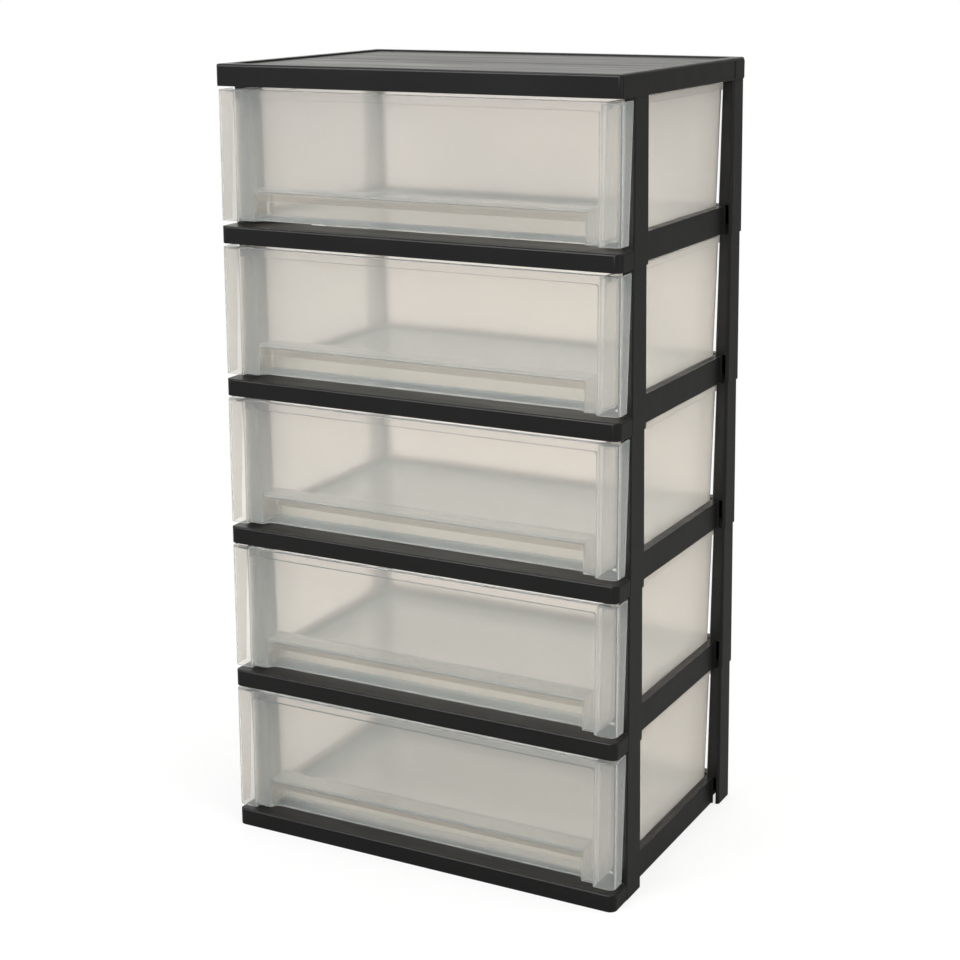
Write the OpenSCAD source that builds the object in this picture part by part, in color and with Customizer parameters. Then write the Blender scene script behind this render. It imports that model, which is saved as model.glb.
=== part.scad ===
// Stacking drawer tower: open frames that plug together, a see-through drawer in each, and a top cover.
// X is to the right, Y to the back and Z up. The origin is on the floor under the middle of the tower.

/* [Tower] */
// Number of tiers, each a frame with its drawer
tiers = 5; // [2:1:7]
// Width over the posts
tower_w = 560; // [480:5:640]
// Depth from the front bars to the rear posts
tower_d = 396; // [340:2:460]
// Height from one frame's foot to the next one's
tier_h = 200; // [160:2:240]

/* [Frame] */
// Wall thickness of the frame's hollow sections
frame_wall = 2.5; // [2:0.1:3]
// Height of the bar across the front
bar_h = 22.5; // [20:0.5:24]
// Depth of the bar, front to back
bar_d = 60; // [56:1:64]
// Radius of the bar's front corners, seen from above
bar_corner_r = 10; // [6:1:16]
// Height of the side and rear rails
rail_h = 36; // [34:1:40]
// Distance from the posts' outer faces in to the side rails
side_rail_inset = 11; // [8:0.5:13]
// Distance from the posts' rear faces in to the rear rail
rear_rail_inset = 9; // [6:0.5:12]
// Height of the ledges that the drawer runs on
ledge_z = 28; // [26:0.5:30]
// Width of the ledges
ledge_w = 22; // [16:1:30]

/* [Posts] */
// Width of a front post at its foot
front_post_w = 17; // [15:0.5:18]
// Depth of a front post at its foot
front_post_d = 43.5; // [36:0.5:50]
// Distance from the bar's front face back to the front posts
front_post_setback = 38; // [34:1:42]
// Width of a rear post at its foot
rear_post_w = 20; // [17:0.5:20]
// Depth of a rear post at its foot
rear_post_d = 40; // [28:0.5:45]
// How much each outer face of a post leans in on the way up
post_lean = 1.5; // [1:0.1:1.8]
// Height of the spigots that enter the frame or cover above
spigot_h = 13; // [8:1:18]
// Clearance of a spigot in its socket, on each side
spigot_gap = 0.35; // [0.2:0.05:0.5]

/* [Drawer] */
// Wall thickness of the drawer
drawer_wall = 2.2; // [1.8:0.1:3]
// Gap from the drawer front's sides to the tower's sides
front_side_gap = 1.5; // [1:0.1:2]
// Gap above the drawer front
front_top_gap = 4; // [3:0.5:8]
// Gap from the bar up to the drawer front's lower edge
front_bottom_gap = 7; // [5:0.5:7]
// Radius of the front's upright corners
front_corner_r = 8; // [6:1:16]
// Length of the front's side returns along their upper ends
return_len = 35; // [33:0.5:37]
// Width of the flange on each side of the inset panel
flange_w = 28; // [26:0.5:32]
// Height of the band above the inset panel
band_h = 10.5; // [5:0.5:14]
// Depth of the inset panel behind the flanges
panel_inset = 7; // [5:0.5:7]
// Gap from the tub's upper edge to the posts' inner faces
tub_side_gap = 4; // [4:0.5:6]
// How much each side of the tub leans out on the way up
tub_lean = 3.5; // [2:0.5:4]
// Gap from the tub's foot to the rear rail
tub_rear_gap = 4; // [1:0.5:6]
// Width that the rim adds around the tub
rim_w = 2.5; // [1.5:0.5:2.5]
// Height of the rim
rim_h = 9; // [6:1:14]
// Running clearance between the drawer's runners and the ledges
slide_gap = 0.3; // [0.2:0.1:0.6]

/* [Grip] */
// Width of the grip in the drawer front
grip_w = 462; // [300:2:470]
// Height of the grip's upper edge above the drawer front's lower edge
grip_h = 37; // [34:0.5:60]
// Height of the grip's lip
lip_h = 11; // [9:0.5:18]
// How far the lip's lower edge lies behind the panel
lip_rake = 8; // [5:0.5:10]
// Depth of the finger bay behind the drawer front's face
bay_d = 42.5; // [38:0.5:60]

/* [Cover] */
// Height of the top cover
cover_h = 28; // [24:1:40]
// Wall thickness of the cover
cover_wall = 2.2; // [1.8:0.1:2.6]
// Width of the cover's raised rim
cover_rim_w = 14; // [10:1:20]
// Depth of the recessed top inside the rim
cover_recess = 2.5; // [1:0.5:4]
// Gap from the cover's sides to the posts' outer faces
cover_side_gap = 0.8; // [0.5:0.1:1.2]

/* [Hidden] */

$fn = 48;
black = [0.13, 0.13, 0.14];
smoke = [0.80, 0.79, 0.77];
over = 1; // how far a cutter runs past the face it cuts, and a rib into the wall it stands on

half_w = tower_w / 2;
front_y = -tower_d / 2;
rear_y = tower_d / 2;

// Frame
bar_side_gap = 0.5;
bar_end = half_w - bar_side_gap;
bar_edge_r = 3;
bar_ribs = 7;
rib_t = 1.8;
post_face_y = front_y + front_post_setback;
front_foot = [[half_w - front_post_w, half_w], [post_face_y, post_face_y + front_post_d]];
front_head = [for (side = front_foot) [side[0] + post_lean, side[1] - post_lean]];
front_post_r = 2;
rear_foot = [[half_w - rear_post_w, half_w], [rear_y - rear_post_d, rear_y]];
rear_inner_lean = 2.5;
rear_head = [
    [rear_foot.x[0] + rear_inner_lean, rear_foot.x[1] - post_lean],
    [rear_foot.y[0] + post_lean, rear_foot.y[1] - post_lean]
];
rear_post_r = 4;
slot_w = 4;
slot_inset = 5;
slot = [[half_w - slot_inset - slot_w, half_w - slot_inset], [-over, rail_h + 2]];
rail_x = half_w - side_rail_inset;
rail_y = rear_y - rear_rail_inset;
ledge_lip_z = 16;
rail_rib_foot_z = 4;
side_ribs = 4;
rear_ribs = 6;

// Drawer
front_x = half_w - front_side_gap;
drawer_top = tier_h - front_top_gap;
drawer_foot = bar_h + front_bottom_gap;
tub_top_x = front_foot.x[0] - tub_side_gap;
tub_foot_x = tub_top_x - tub_lean;
tub_floor = ledge_z + 2;
runner_side_gap = 1.5;
rail_top_x = tub_foot_x + runner_side_gap;
rear_rail_d = 15;
rail_stop_y = rail_y - rear_rail_d;
tub_foot_y = rail_stop_y - tub_rear_gap;
tub_rear_lean = 2.5;
tub_top_y = tub_foot_y + tub_rear_lean;
tub_r = 6;
tub_foot_chamfer = 4;
slab_t = 0.01; // thickness of the outlines that the tub's hull joins
rim_r = tub_r + rim_w;
panel_x = front_x - flange_w;
panel_top = drawer_top - band_h;
panel_lean = 1;
panel_corner_r = 4;
return_cut = 10;
runner_w = 10;
runner_inset = 1;

// Grip
grip_x = grip_w / 2;
grip_top = drawer_foot + grip_h;
lip_z = grip_top - lip_h;
lip_y = panel_y(grip_top) + lip_rake;
lip_run = norm([lip_rake, lip_h]);
lip_back = drawer_wall * [lip_h, lip_rake] / lip_run;
bay_y = front_y + bay_d;
bay_headroom = 2;
bay_top = grip_top + bay_headroom;
bay_floor_rise = 3;
bay_floor_t = 2;
bay_floor_z = drawer_foot + bay_floor_t;
bay_mouth_y = lip_y + bay_floor_t;
bay_corner_r = 9;
grip_corner_r = 7;

// Cover
cover_z = tiers * tier_h;
cover_x = half_w - cover_side_gap;
cover_corner_r = 5;
cover_edge_r = 4;
cover_top = cover_z + cover_h;
collar_d = 40;
collar_lift = 1.4;
groove_w = 3;
groove_d = 1;
cover_rib_z = cover_z + 3;
cover_long_ribs = 3;
cover_cross_ribs = 5;
cover_socket_r = 2;

// Front face of the inset panel at the height z: it leans back a little towards its foot
function panel_y(z) = front_y + panel_inset + panel_lean * (panel_top - z) / (panel_top - drawer_foot);

// A range drawn in by the same amount at both ends
function inset(range, by) = [range[0] + by, range[1] - by];

// Scale and fixed point of the taper that turns one range into another
function taper_scale(foot, head) = (head[1] - head[0]) / (foot[1] - foot[0]);
function taper_centre(foot, head) = (head[0] - taper_scale(foot, head) * foot[0]) / (1 - taper_scale(foot, head));

// Box between three ranges
module block(x, y, z) {
    translate([x[0], y[0], z[0]]) cube([x[1] - x[0], y[1] - y[0], z[1] - z[0]]);
}

// Rectangle between two ranges, with round corners
module rounded(x, y, r) {
    translate([x[0] + r, y[0]]) square([x[1] - x[0] - 2 * r, y[1] - y[0]]);
    translate([x[0], y[0] + r]) square([x[1] - x[0], y[1] - y[0] - 2 * r]);
    for (cx = inset(x, r), cy = inset(y, r)) {
        translate([cx, cy]) circle(r);
    }
}

// A shape drawn in X and Y, raised between two heights
module raised(z) {
    translate([0, 0, z[0]]) linear_extrude(height = z[1] - z[0]) children();
}

// A profile drawn in Y and Z, run along X
module along_x(x) {
    translate([x[0], 0, 0]) rotate([90, 0, 90]) linear_extrude(height = x[1] - x[0]) children();
}

// A profile drawn in X and Z, run along Y
module along_y(y) {
    translate([0, y[1], 0]) rotate([90, 0, 0]) linear_extrude(height = y[1] - y[0]) children();
}

module both_sides() {
    children();
    mirror([1, 0, 0]) children();
}

// Upright column whose outline changes from foot to head, each a pair of ranges
module tapered(foot, head, z, r) {
    centre = [for (i = [0:1]) taper_centre(foot[i], head[i])];
    shrink = [for (i = [0:1]) taper_scale(foot[i], head[i])];
    translate([centre.x, centre.y, z[0]]) {
        linear_extrude(height = z[1] - z[0], scale = shrink, slices = 1) {
            translate(-centre) rounded(foot.x, foot.y, r, $fn = 24);
        }
    }
}

// Outline of a rail in section: outer wall, top, inner wall, runner ledge and its lip
module rail_section(outer, inner) {
    t = frame_wall;
    ledge = inner - ledge_w;
    polygon([
        [outer - t, 0], [outer, 0], [outer, rail_h], [inner, rail_h], [inner, ledge_z],
        [ledge, ledge_z], [ledge, ledge_lip_z], [ledge + t, ledge_lip_z], [ledge + t, ledge_z - t],
        [inner + t, ledge_z - t], [inner + t, rail_h - t], [outer - t, rail_h - t]
    ]);
}

// Web that stiffens a rail from below
module rail_web(outer, inner) {
    ledge = inner - ledge_w;
    polygon([
        [outer - over, rail_rib_foot_z], [outer - over, rail_h - over], [inner + over, rail_h - over],
        [inner + over, ledge_z - over], [ledge + over, ledge_z - over], [ledge + over, ledge_lip_z]
    ]);
}

module front_bar() {
    intersection() {
        raised([0, bar_h]) {
            rounded([-bar_end, bar_end], [front_y, front_y + bar_d], bar_corner_r);
            translate([-bar_end, front_y + bar_d / 2]) square([2 * bar_end, bar_d / 2]);
        }
        along_x([-bar_end, bar_end]) {
            rounded([front_y, front_y + bar_d], [-bar_h, bar_h], bar_edge_r);
        }
        along_y([front_y, front_y + bar_d]) {
            rounded([-bar_end, bar_end], [-bar_h, bar_h], bar_edge_r);
        }
    }
}

module front_bar_hollow() {
    t = frame_wall;
    bay_w = (2 * (bar_end - t) + rib_t) / (bar_ribs + 1);
    for (i = [0:bar_ribs]) {
        x0 = -bar_end + t + i * bay_w;
        intersection() {
            raised([-over, bar_h - t]) {
                rounded(
                    [-bar_end + t, bar_end - t],
                    [front_y + t, front_y + bar_d - t],
                    bar_corner_r - t
                );
            }
            block([x0, x0 + bay_w - rib_t], [front_y, front_y + bar_d], [-2 * over, bar_h]);
        }
    }
}

// Side rails from the front bar to the rear rail
module side_rails() {
    start_y = front_y + bar_d - frame_wall;
    pitch = (rear_foot.y[0] - start_y) / (side_ribs + 1);
    both_sides() {
        along_y([start_y, rail_stop_y + frame_wall]) rail_section(rail_x, rail_top_x);
        for (i = [1:side_ribs]) {
            y = start_y + i * pitch;
            along_y([y, y + rib_t]) rail_web(rail_x, rail_top_x);
        }
    }
}

module rear_rail() {
    reach = rail_x - frame_wall;
    pitch = 2 * reach / (rear_ribs + 1);
    along_x([-reach, reach]) rail_section(rail_y, rail_stop_y);
    for (i = [1:rear_ribs]) {
        x = -reach + i * pitch;
        along_x([x, x + rib_t]) rail_web(rail_y, rail_stop_y);
    }
}

function socket(foot) = [for (side = foot) inset(side, frame_wall)];
function spigot(foot) = [for (side = socket(foot)) inset(side, spigot_gap)];

module post(foot, head, r) {
    plug = spigot(foot);
    tapered(foot, head, [0, tier_h], r);
    raised([tier_h - over, tier_h + spigot_h]) rounded(plug.x, plug.y, r - 1);
}

// Inside of a post: its foot takes the spigot from below, and its own spigot is hollow too
module post_hollow(foot, head, r) {
    t = frame_wall;
    bore = [for (side = spigot(foot)) inset(side, t)];
    tapered(socket(foot), [for (side = head) inset(side, t)], [-over, tier_h - t], r - 1);
    raised([tier_h - t - over, tier_h + spigot_h - t]) rounded(bore.x, bore.y, 1);
}

module frame(tier) {
    color(black)
    translate([0, 0, (tier - 1) * tier_h])
    difference() {
        union() {
            difference() {
                front_bar();
                front_bar_hollow();
            }
            side_rails();
            rear_rail();
            both_sides() {
                post(front_foot, front_head, front_post_r);
                post(rear_foot, rear_head, rear_post_r);
            }
        }
        both_sides() {
            post_hollow(front_foot, front_head, front_post_r);
            post_hollow(rear_foot, rear_head, rear_post_r);
            block(slot.x, [rear_foot.y[0] - over, rear_foot.y[0] + frame_wall + over], slot.y);
        }
    }
}

// Front of the drawer with its side returns, before the panel and the grip are sunk into it
module front_shell() {
    t = drawer_wall;
    back_y = front_y + return_len;
    difference() {
        raised([drawer_foot, drawer_top]) {
            rounded([-front_x, front_x], [front_y, front_y + 2 * return_len], front_corner_r);
        }
        // behind the band, flanges and returns
        difference() {
            raised([drawer_foot - over, drawer_top - t]) {
                rounded(
                    [-front_x + t, front_x - t],
                    [front_y + t, front_y + 3 * return_len],
                    front_corner_r - t
                );
            }
            block(
                [-panel_x - t, panel_x + t],
                [front_y, panel_y(panel_top) + t],
                [drawer_foot - 2 * over, drawer_top]
            );
        }
        // open above and behind the front wall
        block(
            [-front_x + t, front_x - t],
            [panel_y(panel_top) + t, back_y + 3 * return_len],
            [drawer_foot - over, drawer_top + over]
        );
        // the returns' rear edges slope forward towards their feet
        along_x([-half_w, half_w]) {
            polygon([
                [back_y - return_cut, drawer_foot - over], [back_y, drawer_top + over],
                [back_y + 2 * return_len, drawer_top + over], [back_y + 2 * return_len, drawer_foot - over]
            ]);
        }
    }
}

// Solid inside the ranges of the tub, drawn in by one wall thickness for its hollow
module tub(wall, floor_z, top_z) {
    y0 = panel_y(panel_top) + drawer_wall / 2 + wall / 2;
    slabs = [
        [tub_foot_x - wall - tub_foot_chamfer, tub_foot_y - wall - tub_foot_chamfer, floor_z],
        [tub_foot_x - wall, tub_foot_y - wall, floor_z + tub_foot_chamfer],
        [tub_top_x - wall, tub_top_y - wall, top_z]
    ];
    hull() {
        for (s = slabs) {
            translate([0, 0, s[2] - (s[2] == top_z ? slab_t : 0)]) linear_extrude(height = slab_t) {
                rounded([-s.x, s.x], [y0, s.y], tub_r - wall, $fn = 40);
                translate([-s.x, y0]) square([2 * s.x, tub_r]);
            }
        }
    }
}

module rim() {
    x = tub_top_x + rim_w;
    raised([drawer_top - rim_h, drawer_top]) {
        rounded([-x, x], [panel_y(panel_top) + over, tub_top_y + rim_w], rim_r);
    }
}

// Two ribs under the floor on each side that slide on the ledges
module runners() {
    foot_z = ledge_z + slide_gap;
    both_sides() {
        block(
            [tub_foot_x - tub_foot_chamfer - runner_w, tub_foot_x - tub_foot_chamfer - runner_inset],
            [bay_y + drawer_wall, tub_foot_y - tub_r],
            [foot_z, tub_floor + over]
        );
    }
}

module panel_pocket() {
    intersection() {
        along_x([-panel_x, panel_x]) {
            polygon([
                [front_y - over, drawer_foot - over], [panel_y(drawer_foot - over), drawer_foot - over],
                [panel_y(panel_top), panel_top], [front_y - over, panel_top]
            ]);
        }
        along_y([front_y - over, bay_y]) {
            rounded([-panel_x, panel_x], [0, panel_top], panel_corner_r);
        }
    }
}

// Block inside the drawer that the finger bay is cut from
module bay_block() {
    t = drawer_wall;
    front = panel_y(grip_top) + over / 2;
    along_x([-grip_x - t, grip_x + t]) {
        polygon([
            [front, drawer_foot], [bay_mouth_y, drawer_foot],
            [bay_y, drawer_foot + bay_floor_rise], [bay_y + t, tub_floor + t / 2],
            [bay_y + t, bay_top + t], [front, bay_top + t]
        ]);
    }
}

// Finger bay in section: in under the raked lip, up behind it, and down the sloping floor
module bay_section() {
    slope = bay_floor_rise / (bay_y - bay_mouth_y);
    polygon([
        [front_y - over, grip_top], [panel_y(grip_top), grip_top], [lip_y, lip_z],
        [lip_y, lip_z] + lip_back, [panel_y(grip_top), grip_top] + lip_back,
        [panel_y(grip_top) + lip_back.x, bay_top], [bay_y, bay_top],
        [bay_y, bay_floor_z + bay_floor_rise],
        [front_y - over, bay_floor_z - slope * (bay_mouth_y - front_y + over)]
    ]);
}

module finger_bay() {
    intersection() {
        along_x([-grip_x, grip_x]) bay_section();
        union() {
            along_y([front_y - 2 * over, lip_y]) {
                rounded([-grip_x, grip_x], [0, grip_top], grip_corner_r);
            }
            raised([0, bay_top + over]) {
                rounded([-grip_x, grip_x], [lip_y - 3 * bay_corner_r, bay_y], bay_corner_r);
            }
        }
    }
    // mouth of the bay through the drawer front's foot
    raised([drawer_foot - over, bay_floor_z + bay_floor_rise]) {
        rounded([-grip_x, grip_x], [front_y - 3 * bay_corner_r, bay_mouth_y], bay_corner_r);
    }
}

module drawer(tier) {
    color(smoke)
    translate([0, 0, (tier - 1) * tier_h])
    difference() {
        union() {
            difference() {
                union() {
                    front_shell();
                    tub(0, tub_floor, drawer_top);
                    rim();
                }
                tub(drawer_wall, tub_floor + drawer_wall, drawer_top + over);
            }
            bay_block();
            runners();
        }
        panel_pocket();
        finger_bay();
    }
}

// Outer form of the cover: upright sides with collars at the rear corners and a rounded upper edge
module cover_form() {
    intersection() {
        raised([cover_z, cover_top]) {
            rounded([-cover_x, cover_x], [front_y, rear_y], cover_corner_r);
        }
        along_x([-cover_x, cover_x]) rounded([front_y, rear_y], [0, cover_top], cover_edge_r);
        along_y([front_y, rear_y]) rounded([-cover_x, cover_x], [0, cover_top], cover_edge_r);
    }
    both_sides() {
        raised([cover_z + collar_lift, cover_top - cover_edge_r]) {
            rounded([half_w - collar_d, half_w], [rear_y - collar_d, rear_y], cover_corner_r);
        }
    }
}

module cover_ribs() {
    z = [cover_rib_z, cover_top - cover_recess - over];
    for (i = [1:cover_long_ribs]) {
        y = front_y + i * tower_d / (cover_long_ribs + 1);
        block([-cover_x + over, cover_x - over], [y - rib_t / 2, y + rib_t / 2], z);
    }
    for (i = [1:cover_cross_ribs]) {
        x = -cover_x + i * 2 * cover_x / (cover_cross_ribs + 1);
        block([x - rib_t / 2, x + rib_t / 2], [front_y + over, rear_y - over], z);
    }
}

// Walls inside the cover around a spigot
module socket_walls(foot) {
    raised([cover_z, cover_top - cover_recess - over]) {
        rounded([foot.x[0], foot.x[1] - cover_wall], [foot.y[0], foot.y[1] - over], cover_socket_r);
    }
}

module cover_sockets(foot) {
    hole = socket(foot);
    raised([cover_z - over, cover_z + spigot_h + over]) rounded(hole.x, hole.y, 1);
}

module top_cover() {
    t = cover_wall;
    color(black)
    difference() {
        union() {
            difference() {
                cover_form();
                raised([cover_z - over, cover_top - cover_recess - t]) {
                    rounded([-cover_x + t, cover_x - t], [front_y + t, rear_y - t], cover_corner_r - t);
                }
            }
            cover_ribs();
            both_sides() {
                socket_walls(front_foot);
                socket_walls(rear_foot);
            }
        }
        raised([cover_top - cover_recess, cover_top + over]) {
            rounded(
                [-cover_x + cover_rim_w, cover_x - cover_rim_w],
                [front_y + cover_rim_w, rear_y - cover_rim_w],
                cover_corner_r
            );
        }
        block(
            [-cover_x + cover_rim_w + groove_w, cover_x - cover_rim_w - groove_w],
            [-groove_w / 2, groove_w / 2],
            [cover_top - cover_recess - groove_d, cover_top]
        );
        both_sides() {
            cover_sockets(front_foot);
            cover_sockets(rear_foot);
        }
    }
}

for (i = [1:tiers]) {
    frame(i);
    drawer(i);
}
top_cover();
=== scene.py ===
"""Looks of a plastic drawer tower: stacked open frames, see-through drawers and a lid."""

from __future__ import annotations

import logging
import math
from dataclasses import dataclass
from enum import Enum

import bmesh
import bpy
from mathutils import Euler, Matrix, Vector


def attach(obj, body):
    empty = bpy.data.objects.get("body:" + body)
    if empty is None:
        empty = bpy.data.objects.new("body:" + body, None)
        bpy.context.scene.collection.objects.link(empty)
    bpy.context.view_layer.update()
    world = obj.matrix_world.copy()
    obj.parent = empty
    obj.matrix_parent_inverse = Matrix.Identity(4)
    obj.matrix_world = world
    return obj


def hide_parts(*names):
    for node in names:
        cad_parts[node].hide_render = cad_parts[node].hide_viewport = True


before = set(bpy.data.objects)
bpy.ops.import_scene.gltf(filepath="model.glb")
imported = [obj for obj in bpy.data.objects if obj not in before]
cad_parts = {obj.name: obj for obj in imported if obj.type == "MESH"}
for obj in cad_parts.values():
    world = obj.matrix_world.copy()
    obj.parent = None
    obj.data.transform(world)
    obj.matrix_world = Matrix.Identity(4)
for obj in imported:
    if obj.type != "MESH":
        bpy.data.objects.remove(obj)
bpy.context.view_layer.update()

LOG = logging.getLogger("drawer_tower")
WHITE = (1.0, 1.0, 1.0)
WARM_WHITE = (1.0, 0.97, 0.92)
MIDDLE = 0.5
PLASTIC_IOR = 1.49

Colour = tuple[float, float, float]
Place = tuple[float, float, float]


class Slot(Enum):
    """The record's material slots."""

    BLACK = "frame_black"
    SMOKE = "drawer_smoke"


class Ray(Enum):
    """Kinds of ray that a backdrop can answer in its own way."""

    CAMERA = "Is Camera Ray"
    GLOSSY = "Is Glossy Ray"
    TRANSMISSION = "Is Transmission Ray"
    SHADOW = "Is Shadow Ray"


class Sock:
    """A node output that takes part in Python arithmetic, each step adding a Math node."""

    def __init__(self, board: "Board", socket: bpy.types.NodeSocket) -> None:
        """Keeps the board that new nodes go on and the socket itself."""
        self.board = board
        self.socket = socket

    def sibling(self, name: str) -> "Sock":
        """Another output of the same node."""
        return Sock(self.board, self.socket.node.outputs[name])

    def math(self, operation: str, first: "Sock | float", second: "Sock | float" = 0.0) -> "Sock":
        """Adds one Math node.

        Args:
            operation: The Math node's operation.
            first: Its first value.
            second: Its second value, where the operation has one.

        Returns:
            The node's output.
        """
        return self.board.node("ShaderNodeMath", {"operation": operation}, {0: first, 1: second})

    def __add__(self, other: "Sock | float") -> "Sock":
        """The sum."""
        return self.math("ADD", self, other)

    __radd__ = __add__

    def __mul__(self, other: "Sock | float") -> "Sock":
        """The product."""
        return self.math("MULTIPLY", self, other)

    __rmul__ = __mul__

    def __sub__(self, other: "Sock | float") -> "Sock":
        """The difference."""
        return self.math("SUBTRACT", self, other)

    def __rsub__(self, other: "Sock | float") -> "Sock":
        """The difference, with this socket taken away."""
        return self.math("SUBTRACT", other, self)

    def __pow__(self, other: "Sock | float") -> "Sock":
        """This socket raised to a power."""
        return self.math("POWER", self, other)

    def largest(self, other: "Sock | float") -> "Sock":
        """The larger of the two."""
        return self.math("MAXIMUM", self, other)

    def held(self) -> "Sock":
        """The value held between 0 and 1."""
        return self.board.node("ShaderNodeClamp", {}, {"Value": self})


class Board:
    """One node tree that is cleared and filled node by node."""

    def __init__(self, owner: bpy.types.ID) -> None:
        """Empties the tree of a material or a world.

        Args:
            owner: The material or world that has the tree.
        """
        owner.use_nodes = True
        self.tree = owner.node_tree
        self.tree.nodes.clear()

    def node(
        self,
        kind: str,
        settings: dict[str, object] | None = None,
        inputs: dict[str | int, object] | None = None,
        output: str | int = 0,
    ) -> Sock:
        """Adds any node.

        Args:
            kind: The node's type.
            settings: Its settings, such as a Math node's operation, set first.
            inputs: Values or links of its sockets, by name or number.
            output: The output that is wanted.

        Returns:
            That output.
        """
        made = self.tree.nodes.new(kind)
        for name, value in (settings or {}).items():
            setattr(made, name, value)
        for key, value in (inputs or {}).items():
            if isinstance(value, Sock):
                self.tree.links.new(value.socket, made.inputs[key])
            elif isinstance(value, tuple) and len(value) == 3 and made.inputs[key].type == "RGBA":
                made.inputs[key].default_value = (*value, 1.0)
            else:
                made.inputs[key].default_value = value
        return Sock(self, made.outputs[output])

    def end(self, surface: Sock, kind: str = "ShaderNodeOutputMaterial") -> None:
        """Joins the finished shader to the tree's output.

        Args:
            surface: The shader.
            kind: The output node's type.
        """
        last = self.tree.nodes.new(kind)
        self.tree.links.new(surface.socket, last.inputs["Surface"])

    def coords(self, stretch: Place = (1.0, 1.0, 1.0)) -> Sock:
        """Object coordinates, stretched.

        Args:
            stretch: A factor along each axis.

        Returns:
            The vector.
        """
        where = self.node("ShaderNodeTexCoord", output="Object")
        return self.node("ShaderNodeMapping", {}, {"Vector": where, "Scale": stretch})

    def noise(self, where: Sock, scale: float, detail: float = 2.0, rough: float = 0.5) -> Sock:
        """A noise value.

        Args:
            where: The place that it is read at.
            scale: Waves a metre, about.
            detail: Layers of finer noise.
            rough: How strong the finer layers are.

        Returns:
            The value, around 0.5.
        """
        return self.node(
            "ShaderNodeTexNoise",
            {},
            {"Vector": where, "Scale": scale, "Detail": detail, "Roughness": rough},
        )

    def bump(self, height: Sock, rise: float, strength: float, under: Sock | None = None) -> Sock:
        """A relief.

        Args:
            height: The pattern, from 0 to 1.
            rise: How high it stands, in metres.
            strength: How much of it is used.
            under: A coarser relief that it lies on.

        Returns:
            The normal.
        """
        inputs: dict[str | int, object] = {"Strength": strength, "Distance": rise, "Height": height}
        if under is not None:
            inputs["Normal"] = under
        return self.node("ShaderNodeBump", {}, inputs)

    def facing_up(self) -> Sock:
        """The upward part of the surface's direction."""
        normal = self.node("ShaderNodeNewGeometry", output="Normal")
        return self.node("ShaderNodeSeparateXYZ", {}, {0: normal}, "Z")

    def blend(self, share: Sock | float, first: Colour | Sock, second: Colour | Sock) -> Sock:
        """Mixes two colours.

        Args:
            share: How much of the second, from 0 to 1.
            first: The first colour.
            second: The second colour.

        Returns:
            The mixed colour.
        """
        return self.node(
            "ShaderNodeMix", {"data_type": "RGBA"}, {0: share, 6: first, 7: second}, output=2
        )

    def either(self, share: Sock | float, first: Sock, second: Sock) -> Sock:
        """Mixes two shaders.

        Args:
            share: How much of the second, from 0 to 1.
            first: The first shader.
            second: The second shader.

        Returns:
            The mixed shader.
        """
        return self.node("ShaderNodeMixShader", {}, {0: share, 1: first, 2: second})

    def ray(self, kind: Ray) -> Sock:
        """1 where a ray is of that kind, and 0 elsewhere."""
        return self.node("ShaderNodeLightPath", output=kind.value)


@dataclass(frozen=True)
class BlackPolypropylene:
    """Moulded black polypropylene with a fine satin grain and faint flow marks."""

    name: str = "black_polypropylene"
    colour: Colour = (0.0115, 0.0117, 0.0118)
    worn_colour: Colour = (0.0165, 0.0167, 0.0165)
    roughness: float = 0.36
    roughness_play: float = 0.12
    cloud_scale: float = 7.0
    cloud_contrast: float = 1.6
    cloud_start: float = 0.3
    cloud_play: float = 0.06
    streak_scale: float = 3.2
    streak_stretch: Place = (1.0, 9.0, 9.0)
    streak_height: float = 0.0007
    streak_strength: float = 0.35
    top_streak: float = 2.2
    level_power: float = 4.0
    grain_scale: float = 1400.0
    grain_height: float = 0.00006
    grain_strength: float = 0.5

    def material(self) -> bpy.types.Material:
        """Builds the material.

        Returns:
            The black plastic.
        """
        made = bpy.data.materials.new(self.name)
        board = Board(made)
        cloud = board.noise(board.coords(), self.cloud_scale, 3.0)
        streak = board.noise(board.coords(self.streak_stretch), self.streak_scale, 3.0, 0.6)
        grain = board.noise(board.coords(), self.grain_scale, 1.0)
        upward = board.facing_up().largest(0.0) ** self.level_power
        more = 1.0 + upward * self.top_streak
        worn = (cloud * self.cloud_contrast - self.cloud_start).held()
        shade = board.blend(worn, self.colour, self.worn_colour)
        polish = self.roughness + (streak - MIDDLE) * (self.roughness_play * more)
        polish = polish + (cloud - MIDDLE) * self.cloud_play
        soft = board.bump(streak * more, self.streak_height, self.streak_strength)
        relief = board.bump(grain, self.grain_height, self.grain_strength, soft)
        surface = board.node(
            "ShaderNodeBsdfPrincipled",
            {},
            {
                "Base Color": shade,
                "Roughness": polish.held(),
                "Normal": relief,
                "IOR": PLASTIC_IOR,
            },
        )
        board.end(surface)
        return made


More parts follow.
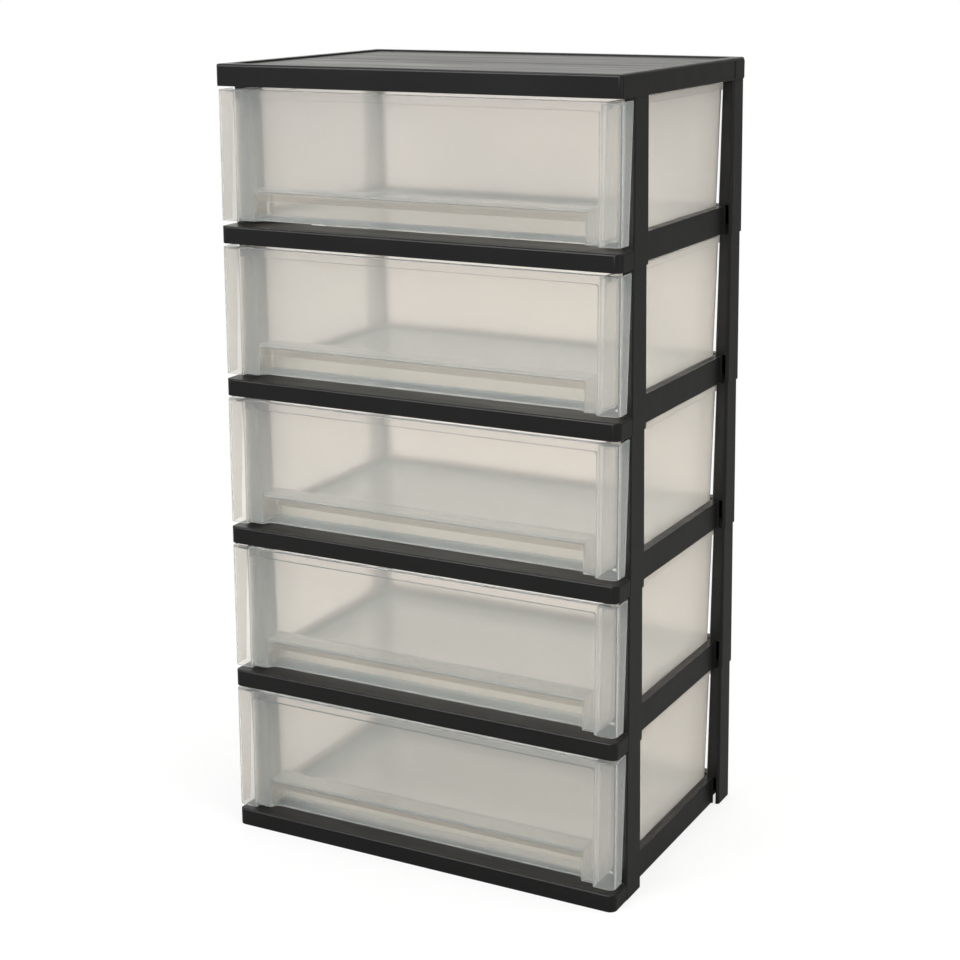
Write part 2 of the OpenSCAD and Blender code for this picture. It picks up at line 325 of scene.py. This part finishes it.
@dataclass(frozen=True)
class SmokePolypropylene:
    """See-through smoky plastic: a polished warm front on a frosted, milky tub, with painted shade
    that makes its flat faces darker and bluer.
    """

    name: str = "smoke_polypropylene"
    haze_colour: Colour = (0.60, 0.75, 0.83)
    body_colour: Colour = (1.0, 0.925, 0.865)
    edge_colour: Colour = (0.66, 0.65, 0.615)
    haze_share: float = 0.19
    haze_play: float = 0.04
    edge_haze: float = 0.3
    tub_colour: Colour = (0.985, 0.99, 0.985)
    # Painted shade: flat faces such as the drawer floors get a darker, bluer milk and glow than the
    # upright walls of the same plastic.
    flat_face_painted_shade: Colour = (0.83, 0.93, 0.99)
    glow_colour: Colour = (1.0, 0.985, 0.95)
    flat_face_painted_shade_glow: Colour = (0.93, 0.97, 0.98)
    tub_share: float = 0.37
    tub_start: float = -0.166
    tub_reach: float = 0.022
    through_share: float = 0.5
    roughness: float = 0.09
    tub_roughness: float = 0.13
    haze_roughness: float = 0.28
    lamp_pass: Colour = (0.92, 0.90, 0.87)
    cloud_scale: float = 5.0
    cloud_stretch: Place = (1.0, 1.0, 2.2)
    swell_scale: float = 14.0
    swell_height: float = 0.0003
    swell_strength: float = 0.05
    grain_scale: float = 900.0
    grain_height: float = 0.00003
    grain_strength: float = 0.3
    edge_power: float = 5.0
    # How closely the painted shade keeps to flat faces.
    level_power: float = 2.0

    def material(self) -> bpy.types.Material:
        """Builds the material.

        Returns:
            The smoky plastic.
        """
        made = bpy.data.materials.new(self.name)
        board = Board(made)
        ripple = board.noise(board.coords(), self.swell_scale, 1.0)
        fine = board.noise(board.coords(), self.grain_scale, 1.0)
        swell = board.bump(ripple, self.swell_height, self.swell_strength)
        relief = board.bump(fine, self.grain_height, self.grain_strength, swell)
        edge = board.node("ShaderNodeLayerWeight", {}, {"Blend": 0.5}, "Facing")
        depth = board.node("ShaderNodeSeparateXYZ", {}, {0: board.coords()}, "Y")
        frost = ((depth - self.tub_start) * (1.0 / self.tub_reach)).held()
        slope = board.facing_up()
        # level marks flat faces for the painted shade that haze adds.
        level = (slope * slope) ** self.level_power
        glass = self.glass(board, edge, frost, swell)
        haze = self.haze(board, level, frost, relief)
        cloud = board.noise(board.coords(self.cloud_stretch), self.cloud_scale, 2.0)
        share = self.haze_share + frost * (self.tub_share - self.haze_share)
        share = share + (cloud - MIDDLE) * self.haze_play + edge**self.edge_power * self.edge_haze
        body = board.either(share.held(), glass, haze)
        lamp = board.node("ShaderNodeBsdfTransparent", {}, {"Color": self.lamp_pass})
        board.end(board.either(board.ray(Ray.SHADOW), body, lamp))
        return made

    def glass(self, board: Board, edge: Sock, frost: Sock, normal: Sock) -> Sock:
        """The clear part: what shows through the plastic.

        Args:
            board: The material's nodes.
            edge: 1 where the surface is seen along itself.
            frost: 1 on the tub and 0 on the front.
            normal: The relief.

        Returns:
            The shader.
        """
        return board.node(
            "ShaderNodeBsdfPrincipled",
            {},
            {
                "Base Color": board.blend(edge, self.body_colour, self.edge_colour),
                "Roughness": self.roughness + frost * (self.tub_roughness - self.roughness),
                "IOR": PLASTIC_IOR,
                "Transmission Weight": 1.0,
                "Normal": normal,
            },
        )

    def haze(self, board: Board, level: Sock, frost: Sock, normal: Sock) -> Sock:
        """The milky part: what the plastic scatters back and lets through, with painted shade that
        makes flat faces darker and bluer.

        Args:
            board: The material's nodes.
            level: 1 on faces that lie flat and 0 on upright ones; it steers the painted shade on
                flat faces.
            frost: 1 on the tub and 0 on the front.
            normal: The relief.

        Returns:
            The shader.
        """
        # Painted shade: flat faces take a darker, bluer milk than upright walls.
        milk_with_painted_flat_shade = board.blend(level, self.tub_colour, self.flat_face_painted_shade)
        back = board.node(
            "ShaderNodeBsdfPrincipled",
            {},
            {
                "Base Color": board.blend(frost, self.haze_colour, milk_with_painted_flat_shade),
                "Roughness": self.haze_roughness,
                "IOR": PLASTIC_IOR,
                "Normal": normal,
            },
        )
        # Painted shade: the glow through flat faces is darker and bluer than the glow through
        # upright walls.
        upright, flat = (
            board.node("ShaderNodeBsdfTranslucent", {}, {"Color": colour, "Normal": normal})
            for colour in (self.glow_colour, self.flat_face_painted_shade_glow)
        )
        return board.either(self.through_share, back, board.either(level, upright, flat))


@dataclass(frozen=True)
class StudioFloor:
    """A pale floor that shows white to the camera and keeps a soft shadow."""

    name: str = "studio_floor"
    colour: Colour = (0.17, 0.168, 0.165)
    mirror_colour: Colour = (0.14, 0.14, 0.13)
    seen_colour: Colour = (0.97, 0.97, 0.97)
    half_side: float = 9.0
    camera_share: float = 0.72
    white_reach: tuple[float, float] = (0.4, 1.3)
    mirror_share: float = 0.11
    glass_share: float = 0.15
    roughness: float = 0.6
    drop: float = 0.0002

    def material(self) -> bpy.types.Material:
        """Builds the material.

        Returns:
            The floor's finish.
        """
        made = bpy.data.materials.new(self.name)
        board = Board(made)
        seen = board.ray(Ray.CAMERA).largest(board.ray(Ray.TRANSMISSION))
        lit, mirrored, shown = (
            board.node(
                "ShaderNodeBsdfDiffuse", {}, {"Color": colour, "Roughness": self.roughness}
            )
            for colour in (self.colour, self.mirror_colour, self.seen_colour)
        )
        lit = board.either(seen, board.either(board.ray(Ray.GLOSSY), lit, mirrored), shown)
        white = board.node("ShaderNodeEmission", {}, {"Color": WHITE, "Strength": 1.0})
        near, far = self.white_reach
        away = board.node(
            "ShaderNodeVectorMath", {"operation": "LENGTH"}, {0: board.coords()}, "Value"
        )
        fade = ((away - near) * (1.0 / (far - near))).held()
        share = board.ray(Ray.CAMERA) * (self.camera_share + fade * (1.0 - self.camera_share))
        share = share.largest(board.ray(Ray.GLOSSY) * self.mirror_share)
        share = share.largest(board.ray(Ray.TRANSMISSION) * self.glass_share)
        board.end(board.either(share, lit, white))
        return made

    def build(self) -> bpy.types.Object:
        """Lays the floor just under the tower.

        Returns:
            The floor.
        """
        mesh = bpy.data.meshes.new(self.name)
        shape = bmesh.new()
        bmesh.ops.create_grid(shape, x_segments=1, y_segments=1, size=self.half_side)
        shape.to_mesh(mesh)
        shape.free()
        floor = bpy.data.objects.new(self.name, mesh)
        floor.location.z = -self.drop
        bpy.context.scene.collection.objects.link(floor)
        floor.data.materials.append(self.material())
        return floor


@dataclass(frozen=True)
class StudioDome:
    """The light all round: bright behind, at the right and above, dimmer in front."""

    back: float = 0.95
    front: float = 0.45
    right: float = 0.15
    up: float = 0.1
    least: float = 0.05
    mirror_low: float = 0.1
    mirror_front: float = 0.16
    mirror_high: float = 1.0
    mirror_way: Place = (-0.62, 0.78, 0.08)
    mirror_tightness: float = 3.0
    back_tint: Colour = (1.0, 0.985, 0.94)
    front_tint: Colour = (0.95, 0.98, 1.0)

    def build(self) -> bpy.types.World:
        """Makes the world.

        Returns:
            The world.
        """
        world = bpy.data.worlds.new("studio_dome")
        bpy.context.scene.world = world
        board = Board(world)
        way = board.node("ShaderNodeTexCoord", output="Generated")
        split = board.node("ShaderNodeSeparateXYZ", {}, {0: way})
        ahead, right, above = split.sibling("Y"), split.sibling("X"), split.sibling("Z")
        middle = (self.back + self.front) / 2
        level = middle + ahead * ((self.back - self.front) / 2)
        level = level + right * self.right + above * self.up
        tint = board.blend((ahead * MIDDLE + MIDDLE).held(), self.front_tint, self.back_tint)
        seen = board.ray(Ray.CAMERA).largest(board.ray(Ray.TRANSMISSION))
        toward = board.node(
            "ShaderNodeVectorMath",
            {"operation": "DOT_PRODUCT"},
            {0: way, 1: self.mirror_way},
            "Value",
        ).largest(0.0)
        gleam = toward**self.mirror_tightness
        gleam = self.mirror_low + gleam * (self.mirror_high - self.mirror_low)
        gleam = gleam - ahead * self.mirror_front * (1.0 - toward)
        glossy = board.ray(Ray.GLOSSY)
        level = level.largest(self.least) * (1.0 - glossy) + gleam.largest(self.least) * glossy
        light = board.node("ShaderNodeBackground", {}, {"Color": tint, "Strength": level})
        white = board.node("ShaderNodeBackground", {}, {"Color": WHITE, "Strength": 1.0})
        board.end(board.either(seen, light, white), "ShaderNodeOutputWorld")
        return world


@dataclass(frozen=True)
class Softbox:
    """One large soft lamp aimed at the tower."""

    name: str
    place: Place
    aim: Place
    size: tuple[float, float]
    watts: float
    colour: Colour = WHITE

    def build(self) -> bpy.types.Object:
        """Hangs the lamp.

        Returns:
            The lamp.
        """
        data = bpy.data.lights.new(self.name, "AREA")
        data.shape = "RECTANGLE"
        data.size, data.size_y = self.size
        data.energy = self.watts
        data.color = self.colour
        lamp = bpy.data.objects.new(self.name, data)
        lamp.location = self.place
        way = Vector(self.aim) - Vector(self.place)
        lamp.rotation_euler = way.to_track_quat("-Z", "Y").to_euler()
        bpy.context.scene.collection.objects.link(lamp)
        return lamp


@dataclass(frozen=True)
class StudioCamera:
    """The camera, a little above the lid and to the right of the fronts."""

    place: Place = (1.1744, -2.236252, 1.167035)
    turn_degrees: Place = (77.96307, 0.34985, 28.19369)
    lens_mm: float = 73.2707
    sensor_mm: float = 36.0
    shift: tuple[float, float] = (0.01347, -0.11919)
    clip: tuple[float, float] = (0.05, 60.0)

    def build(self) -> bpy.types.Object:
        """Sets the camera up.

        Returns:
            The camera.
        """
        data = bpy.data.cameras.new("camera")
        data.sensor_width = self.sensor_mm
        data.lens = self.lens_mm
        data.shift_x, data.shift_y = self.shift
        data.clip_start, data.clip_end = self.clip
        camera = bpy.data.objects.new("camera", data)
        camera.location = self.place
        camera.rotation_euler = Euler([math.radians(x) for x in self.turn_degrees])
        bpy.context.scene.collection.objects.link(camera)
        bpy.context.scene.camera = camera
        return camera


@dataclass
class Moulding:
    """One moulded piece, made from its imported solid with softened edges."""

    node: str
    body: str
    slot: Slot
    finish: bpy.types.Material
    merge: float = 0.00004
    edge_radius: float = 0.0005
    edge_segments: int = 2
    sharp_degrees: float = 28.0
    wedge_degrees: float = 20.0
    slender_share: float = 1.5
    flat_degrees: float = 0.4
    flat_weight: int = 100

    @property
    def name(self) -> str:
        """The piece's own name."""
        return f"{self.node}_shell"

    def shape(self) -> bpy.types.Mesh:
        """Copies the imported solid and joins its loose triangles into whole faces.

        Returns:
            The piece's mesh.
        """
        mesh = bpy.data.meshes.new(self.name)
        work = bmesh.new()
        work.from_mesh(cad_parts[self.node].data)
        bmesh.ops.remove_doubles(work, verts=work.verts, dist=self.merge)
        bmesh.ops.dissolve_degenerate(work, edges=work.edges, dist=self.merge)
        bmesh.ops.dissolve_limit(
            work,
            angle_limit=math.radians(self.flat_degrees),
            use_dissolve_boundaries=False,
            verts=work.verts,
            edges=work.edges,
            delimit={"NORMAL"},
        )
        bmesh.ops.connect_verts_concave(work, faces=work.faces)
        for face in work.faces:
            face.smooth = True
        self.mark_edges(work)
        work.to_mesh(mesh)
        work.free()
        mesh.set_sharp_from_angle(angle=math.radians(self.sharp_degrees))
        return mesh

    def mark_edges(self, work: bmesh.types.BMesh) -> None:
        """Picks the edges that get a mould radius: sharp ones that meet no other in a narrow wedge.

        Args:
            work: The joined mesh.
        """
        weight = work.edges.layers.float.new("bevel_weight_edge")
        sharp = {
            edge
            for edge in work.edges
            if edge.is_manifold and edge.calc_face_angle(0.0) > math.radians(self.sharp_degrees)
        }
        for edge in sharp:
            edge[weight] = 0.0 if self.is_slender(edge) else 1.0
        for corner in work.verts:
            meeting = [edge for edge in corner.link_edges if edge in sharp]
            ways = [(edge.other_vert(corner).co - corner.co).normalized() for edge in meeting]
            for first, way in enumerate(ways):
                for second in range(first):
                    if way.angle(ways[second], math.pi) < math.radians(self.wedge_degrees):
                        meeting[first][weight] = meeting[second][weight] = 0.0

    def is_slender(self, edge: bmesh.types.BMEdge) -> bool:
        """Tells whether a face beside an edge is too narrow to give room for the mould radius.

        Args:
            edge: The edge.

        Returns:
            True where the radius would overshoot the face.
        """
        width = min(face.calc_area() for face in edge.link_faces) / max(edge.calc_length(), 1e-9)
        return width < self.slender_share * self.edge_radius

    def soften(self, piece: bpy.types.Object) -> None:
        """Rounds the piece's sharp edges a little, as a mould leaves them.

        Args:
            piece: The piece.
        """
        radius = piece.modifiers.new("mould_radius", "BEVEL")
        radius.width = self.edge_radius
        radius.segments = self.edge_segments
        radius.profile = 0.5
        radius.limit_method = "WEIGHT"
        radius.use_clamp_overlap = False
        level = piece.modifiers.new("flat_faces_stay_flat", "WEIGHTED_NORMAL")
        level.mode = "FACE_AREA"
        level.weight = self.flat_weight
        level.keep_sharp = True

    def build(self) -> bpy.types.Object:
        """Makes the piece and attaches it to its body.

        Returns:
            The piece.
        """
        piece = bpy.data.objects.new(self.name, self.shape())
        bpy.context.scene.collection.objects.link(piece)
        self.soften(piece)
        piece.data.materials.append(self.finish)
        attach(piece, self.body)
        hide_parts(self.node)
        LOG.info("%s: %d faces before edges", piece.name, len(piece.data.polygons))
        return piece


@dataclass
class TierFrame(Moulding):
    """One open black frame that carries a drawer."""


@dataclass
class Drawer(Moulding):
    """One see-through drawer with its framed front and finger grip."""


@dataclass
class TopCover(Moulding):
    """The lid with its raised rim."""

    edge_radius: float = 0.0006


@dataclass
class Studio:
    """Floor, light and camera."""

    floor: StudioFloor
    dome: StudioDome
    lamps: tuple[Softbox, ...]
    camera: StudioCamera

    def build(self) -> None:
        """Sets the studio up."""
        self.floor.build()
        self.dome.build()
        for lamp in self.lamps:
            lamp.build()
        self.camera.build()
        bpy.context.scene.view_settings.view_transform = "Standard"
        LOG.info("studio: %d lamps", len(self.lamps))


def main() -> None:
    """Builds the studio and every piece of the tower."""
    logging.basicConfig(level=logging.INFO, format="%(name)s %(message)s")
    lamps = (
        Softbox("key_box", (-1.1, -2.3, 2.6), (0.0, 0.0, 0.6), (1.8, 1.2), 42.0),
        Softbox("top_box", (0.2, 0.5, 2.9), (0.0, 0.0, 1.0), (2.2, 1.6), 30.0),
        Softbox("side_box", (2.1, -0.7, 1.8), (0.1, 0.0, 0.95), (1.2, 1.6), 12.0, WARM_WHITE),
    )
    Studio(StudioFloor(), StudioDome(), lamps, StudioCamera()).build()
    black = BlackPolypropylene().material()
    smoke = SmokePolypropylene().material()
    tiers = sum(1 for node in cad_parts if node.startswith("drawer_"))
    for tier in range(1, tiers + 1):
        TierFrame(f"frame_{tier}", "tower", Slot.BLACK, black).build()
        Drawer(f"drawer_{tier}", f"drawer_{tier}", Slot.SMOKE, smoke).build()
    TopCover("top_cover", "tower", Slot.BLACK, black).build()


if __name__ == "__main__":
    main()
